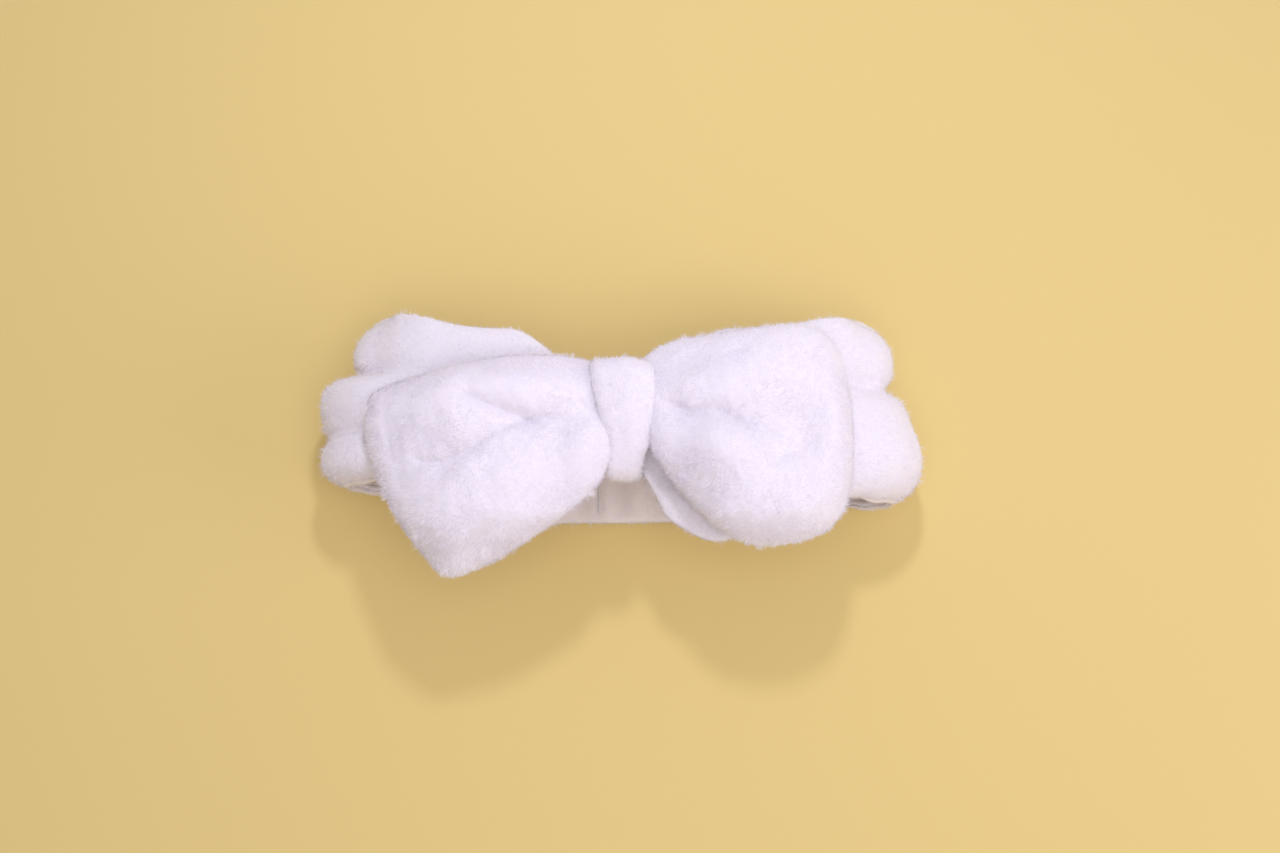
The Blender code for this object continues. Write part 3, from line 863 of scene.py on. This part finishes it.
# The knot's left and right edge on its upper face, as (y, left x, right x) in mm, from low to high.
KNOT_EDGES = ((-27, -6, 7.8), (-17, -4.5, 10.8), (-6, -7.5, 12.6), (8, -10.5, 13.4), (20, -12.0, 12.6))
KNOT_THICK = 5.4 * MM
KNOT_SWELL = 0.6 * MM
KNOT_CROWN = 1.0 * MM
KNOT_FOLD_DEPTH = 0.25 * MM

# How far the knot's upper face drops towards its lower end.
KNOT_SLOPE = 3.5 * MM

# How square the strip's way round the band is, in Y and Z, and how square its own section is.
KNOT_SQUARENESS = (0.55, 0.62)
STRIP_SQUARENESS = 0.7
STRIP_STEPS = (150, 56)


def knot_sides(y):
    """X of the knot's left and right side at each Y."""
    rows, lefts, rights = (np.array(column) * MM for column in zip(*KNOT_EDGES))
    return [np.interp(y - RING_MIDDLE.y, rows, edges) for edges in (lefts, rights)]


def knot():
    """The strip round the waist and the front band: a puffy loop, narrower towards its lower end."""
    low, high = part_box("knot_wrap")
    middle_y, middle_z = (low[1] + high[1]) / 2, (low[2] + high[2]) / 2
    half_y, half_z = (high[1] - low[1]) / 2, (high[2] - low[2]) / 2
    turn, ring = np.meshgrid(
        *[np.linspace(0, 2 * math.pi, steps, endpoint=False) for steps in STRIP_STEPS], indexing="ij"
    )
    reach_y = squarer(np.cos(turn), KNOT_SQUARENESS[0])
    reach_z = squarer(np.sin(turn), KNOT_SQUARENESS[1])
    out = np.sin(ring)
    across = squarer(np.cos(ring), STRIP_SQUARENESS)
    y = middle_y + reach_y * half_y
    left, right = knot_sides(y)
    folds = KNOT_FOLD_DEPTH * np.sin(across * 6 + 0.8 * reach_y) * (out > 0) * smooth(reach_z, -0.2, 0.6)
    crown = KNOT_CROWN * (1 - across**2) * (out > 0) * smooth(reach_z, 0, 0.8)
    slope = KNOT_SLOPE * smooth(reach_y, 0.1, -0.95) * smooth(reach_z, 0.2, 0.9)
    grow = (out - 1) * KNOT_THICK / 2 + KNOT_SWELL + folds + crown - slope
    x = (left + right) / 2 + across * (right - left) / 2
    z = middle_z + reach_z * half_z + np.sin(turn) * grow
    points = np.stack([x, y + np.cos(turn) * grow, z], axis=-1)
    strip = link("knot_strip", mesh_from("knot_strip", points, tube_faces(*STRIP_STEPS, closed=True)))
    face_out(strip, lambda centres: centres - np.array([0, middle_y, middle_z]))
    strip.data.shade_smooth()
    fur = pile("knot", strip)
    strip.data.materials.append(KNOT_FLEECE)
    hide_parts("knot_wrap")
    for piece in (strip, fur):
        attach(piece, "front")


WAIST_PLEATS = 5
PLEAT_DEPTH = 0.07
WAIST_STEPS = (60, 72)
WAIST_INSET = 1.5 * MM


def waist():
    """The gathered middle of the bow: a pleated bundle that the knot's strip hides."""
    low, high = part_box("bow_waist")
    middle_y, middle_z = (low[1] + high[1]) / 2, (low[2] + high[2]) / 2
    half_y, half_z = (high[1] - low[1]) / 2, (high[2] - low[2]) / 2
    along, turn = np.meshgrid(
        np.linspace(-1, 1, WAIST_STEPS[0]), np.linspace(0, 2 * math.pi, WAIST_STEPS[1], endpoint=False),
        indexing="ij",
    )
    pleats = 1 - PLEAT_DEPTH * (1 + np.cos(2 * WAIST_PLEATS * turn))
    closed = np.sqrt(np.clip(1 - np.abs(along) ** 8, 0, 1))
    y = middle_y + half_y * np.cos(turn) * pleats * closed
    z = middle_z + half_z * np.sin(turn) * pleats * closed
    left, right = knot_sides(y)
    x = (left + right) / 2 + along * ((right - left) / 2 - WAIST_INSET)
    points = np.stack([x, y, z], axis=-1)
    faces = tube_faces(*WAIST_STEPS, closed=False)
    bundle = link("waist_gathers", mesh_from("waist_gathers", points, faces))
    bm = bmesh.new()
    bm.from_mesh(bundle.data)
    bmesh.ops.remove_doubles(bm, verts=bm.verts, dist=0.01 * MM)
    bm.to_mesh(bundle.data)
    bm.free()
    face_out(bundle, lambda centres: centres - np.array([0, middle_y, middle_z]))
    bundle.data.shade_smooth()
    bundle.data.materials.append(BOW_FLEECE)
    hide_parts("bow_waist")
    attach(bundle, "front")


# ---------------------------------------------------------------- threads, and what stays from the CAD


THREAD_RADIUS = 0.4 * MM

# How far in from the tube's long edge its thread runs.
THREAD_DEPTH = 3.2 * MM


def edge_line(upper):
    """A closed line inside the tube along one of its long edges."""
    rows = []
    for quarter, count in enumerate(STATIONS_PER_QUARTER):
        share = np.arange(count) / count
        half, _ = band_width_and_middle(quarter, share)
        across = (1 if upper else -1) * (1 - THREAD_DEPTH / half)
        x, y, z, nx, nz, out = tube_place(quarter, share, across, 0)
        rows.append(np.stack([x + nx * out, y, z + nz * out], axis=-1))
    return np.concatenate(rows) + np.array(RING_MIDDLE)


def stitched_line(name, line):
    """A thread along the line, as a mesh."""
    curve = bpy.data.curves.new(name, "CURVE")
    curve.dimensions = "3D"
    curve.bevel_depth = THREAD_RADIUS
    curve.bevel_resolution = 2
    spline = curve.splines.new("POLY")
    spline.points.add(len(line) - 1)
    spline.points.foreach_set("co", np.c_[line, np.ones(len(line))].ravel())
    spline.use_cyclic_u = True
    drawn = bpy.data.objects.new(name + "_line", curve)
    mesh = bpy.data.meshes.new_from_object(drawn)
    bpy.data.objects.remove(drawn)
    mesh.materials.clear()
    mesh.materials.append(THREAD)
    return link(name, mesh)


def edge_threads():
    """The tube's two long seams, each drawn as one new thread line along an edge in place of the CAD's
    seam pieces.
    """
    for edge in ("upper", "lower"):
        stitching = stitched_line(f"band_{edge}_edge_stitching", edge_line(edge == "upper"))
        for stretch in ("back", "left_side", "front", "right_side"):
            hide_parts(f"{stretch}_{edge}_edge_seam")
        stretch_with_ring(stitching)


def carried_over():
    """Every node that nothing replaces stays as it is: the elastic, and thread for all the rest."""
    for name, obj in NODES.items():
        if obj.hide_render:
            continue
        obj.data.materials.clear()
        obj.data.materials.append(ELASTIC if name == "back_elastic" else THREAD)


# ---------------------------------------------------------------- floor, light and camera


FLOOR_HALF = 1.5
FLOOR_DROP = 0.3 * MM
FLOOR_COLOUR = (0.77, 0.60, 0.25, 1)
FILL_COLOUR = (0.99, 0.95, 1.0)

# Each lamp's name, place, aim, size, power and colour.
LAMPS = (
    ("key", Vector((0.033, 0.345, 0.555)) + RING_MIDDLE, (0, 0, 0.03), 0.07, 1.13, (0.89, 0.93, 1.13)),
    ("front_fill", (0.1, -0.25, 1.05), (0, 0, 0), 0.9, 3.6, FILL_COLOUR),
    ("side_fill", (0.75, -0.2, 0.45), (0, 0, 0.03), 0.5, 1.75, FILL_COLOUR),
)
AMBIENT = {"Color": (1.0, 0.92, 0.90, 1), "Strength": 0.5}


def area_light(name, place, aim, size, power, colour):
    """A round lamp that shines from its place towards its aim."""
    data = bpy.data.lights.new(name, "AREA")
    data.shape = "DISK"
    data.size = size
    data.energy = power
    data.color = colour
    lamp = bpy.data.objects.new(name, data)
    bpy.context.scene.collection.objects.link(lamp)
    lamp.location = place
    lamp.rotation_euler = (Vector(aim) - Vector(place)).to_track_quat("-Z", "Y").to_euler()


def stage():
    """A plain floor, just below the object so that the two don't meet."""
    bm = bmesh.new()
    bmesh.ops.create_grid(bm, x_segments=1, y_segments=1, size=FLOOR_HALF)
    mesh = bpy.data.meshes.new("floor")
    bm.to_mesh(mesh)
    bm.free()
    floor = link("floor", mesh)
    floor.location = (0, 0, -FLOOR_DROP)
    paper, _ = material("pale_paper", Base_Color=FLOOR_COLOUR, Roughness=0.9, Specular_IOR_Level=0.1)
    floor.data.materials.append(paper)


def light():
    """A small lamp behind the object for the shadows, two broad fills and even light all round."""
    for lamp in LAMPS:
        area_light(*lamp)
    world = bpy.data.worlds.new("studio")
    bpy.context.scene.world = world
    world.use_nodes = True
    set_inputs(world.node_tree.nodes["Background"], AMBIENT)


CAMERA_LENS = 50
CAMERA_SENSOR = 36
CAMERA_ELEVATION = math.radians(80)
CAMERA_DISTANCE = 711 * MM
CAMERA_AIM = Vector((7.6, -1.0, 30)) * MM + RING_MIDDLE


def camera():
    """A camera that looks down on the object from in front, almost from straight above."""
    data = bpy.data.cameras.new("camera")
    data.lens = CAMERA_LENS
    data.sensor_width = CAMERA_SENSOR
    data.clip_start = 0.01
    eye = bpy.data.objects.new("camera", data)
    bpy.context.scene.collection.objects.link(eye)
    back = Vector((0, -math.cos(CAMERA_ELEVATION), math.sin(CAMERA_ELEVATION)))
    eye.location = CAMERA_AIM + CAMERA_DISTANCE * back
    eye.rotation_euler = (-back).to_track_quat("-Z", "Y").to_euler()
    bpy.context.scene.camera = eye
    bpy.context.scene.view_settings.view_transform = "Standard"


camera()
band()
bow_loop("left", LEFT_EDGE, LEFT_MIDDLE, LEFT_PUFFS, LEFT_CREASES)
bow_loop("right", RIGHT_EDGE, RIGHT_MIDDLE, RIGHT_PUFFS, RIGHT_CREASES)
knot()
waist()
edge_threads()
carried_over()
stage()
light()
